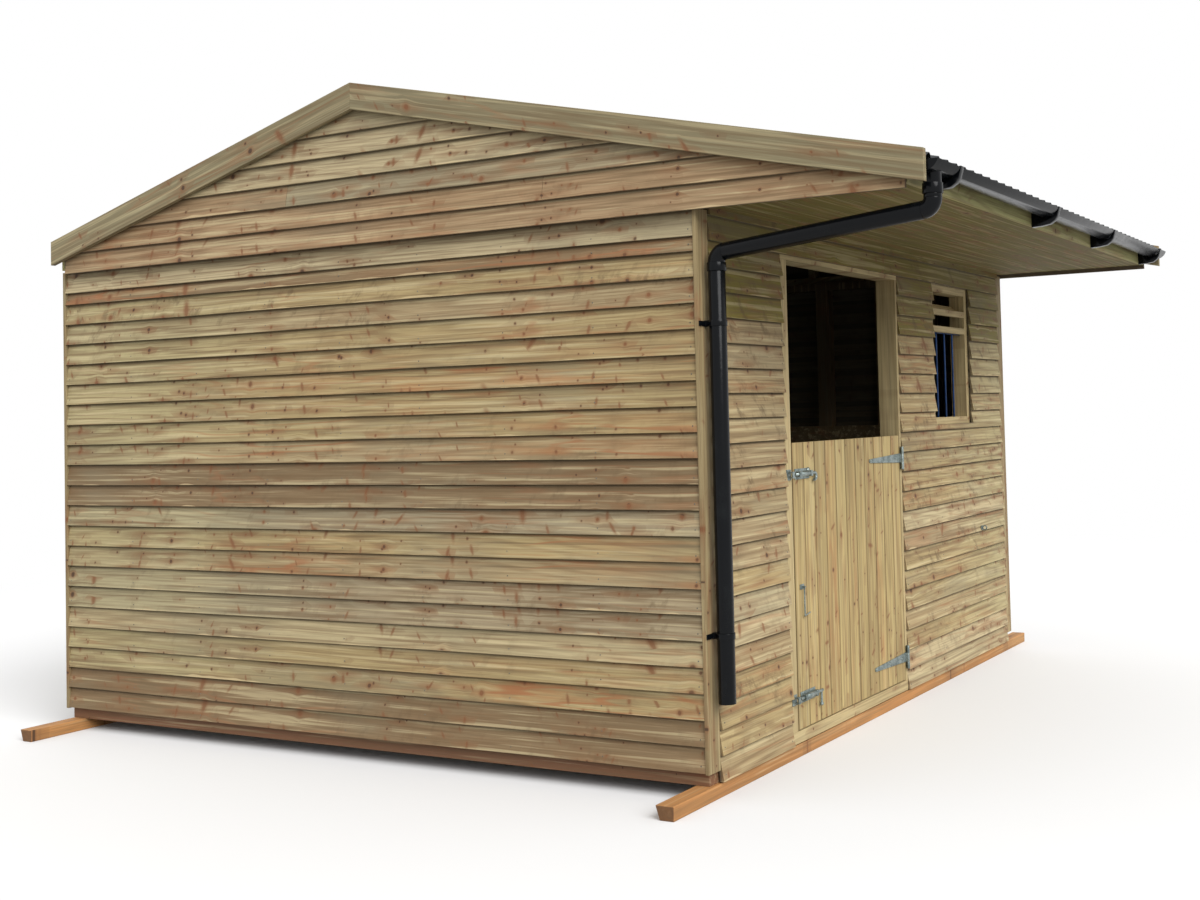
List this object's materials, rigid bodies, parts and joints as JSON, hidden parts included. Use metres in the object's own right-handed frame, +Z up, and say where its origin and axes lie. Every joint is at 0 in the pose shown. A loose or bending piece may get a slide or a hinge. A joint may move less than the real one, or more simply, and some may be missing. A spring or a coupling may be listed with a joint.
{
  "type": "field shelter",
  "caption": "Timber field shelter on two skids, clad in featheredge board, with a low apex roof, a front canopy, a stable door and a barred window.",
  "frame": {"origin": "centre of the bounding box, on the ground under the skids", "axes": "+X to the right seen from the front, front and door face -Y, +Z up"},
  "size_m": [4.2, 4.7144, 2.972],
  "materials": {
    "skid_timber": "sawn, orange-brown",
    "brown_timber": "sawn, brown treated",
    "door_timber": "planed",
    "planed_timber": "planed",
    "featheredge_timber": "sawn, pressure treated",
    "trim_timber": "sawn, pressure treated",
    "kick_panel": "sheet, unfinished",
    "frame_timber": "sawn",
    "roof_sheet": "matt black",
    "rainwater_plastic": "gloss black",
    "galvanised_steel": "galvanised"
  },
  "bodies": {
    "shelter": {"skids": "skid_timber", "side_base_beams": "brown_timber", "end_base_beams": "brown_timber", "left_wall_frame": "frame_timber", "right_wall_frame": "frame_timber", "rear_wall_frame": "frame_timber", "front_frame_left": "frame_timber", "front_frame_right": "frame_timber", "front_header": "frame_timber", "gable_frames": "frame_timber", "purlins": "frame_timber", "left_cladding": "featheredge_timber", "right_cladding": "featheredge_timber", "rear_cladding": "featheredge_timber", "front_cladding_left": "featheredge_timber", "front_cladding_middle": "featheredge_timber", "front_cladding_under_window": "featheredge_timber", "front_cladding_right": "featheredge_timber", "front_cladding_top": "featheredge_timber", "gable_panels": "featheredge_timber", "corner_trims": "trim_timber", "front_barge_boards": "trim_timber", "rear_barge_boards": "trim_timber", "fascia_boards": "trim_timber", "canopy_soffit": "trim_timber", "front_roof_sheet": "roof_sheet", "rear_roof_sheet": "roof_sheet", "ridge_cap": "roof_sheet", "gutter": "rainwater_plastic", "gutter_brackets": "rainwater_plastic", "pipe_elbows": "frame_timber", "offset_pipe": "rainwater_plastic", "downpipe": "rainwater_plastic", "pipe_clips": "rainwater_plastic", "door_jambs": "planed_timber", "door_rails": "planed_timber", "hinge_leaves": "galvanised_steel", "bolt_keeps": "galvanised_steel", "hook_eye": "galvanised_steel", "window_frame": "planed_timber", "window_louvres": "planed_timber", "window_grille": "galvanised_steel", "side_kickboards": "kick_panel", "rear_kickboard": "kick_panel", "front_kickboards": "kick_panel"},
    "lower_door": {"stable_door": "door_timber", "hinge_straps": "galvanised_steel", "bolt_plates": "galvanised_steel", "cabin_hook": "galvanised_steel"},
    "upper_bolt": {"upper_bolt_rod": "galvanised_steel"},
    "lower_bolt": {"lower_bolt_rod": "galvanised_steel"}
  },
  "joints": [
    {"name": "lower_door_hinge", "type": "hinge", "parent": "shelter", "child": "lower_door", "pos_m": [0.141, -1.36075, 0.11], "axis": [0, 0, 1], "range_deg": [0, 176]},
    {"name": "upper_bolt_slide", "type": "slide", "parent": "lower_door", "child": "upper_bolt", "axis": [-1, 0, 0], "range_m": [0, 0.035]},
    {"name": "lower_bolt_slide", "type": "slide", "parent": "lower_door", "child": "lower_bolt", "axis": [-1, 0, 0], "range_m": [0, 0.035]}
  ]
}
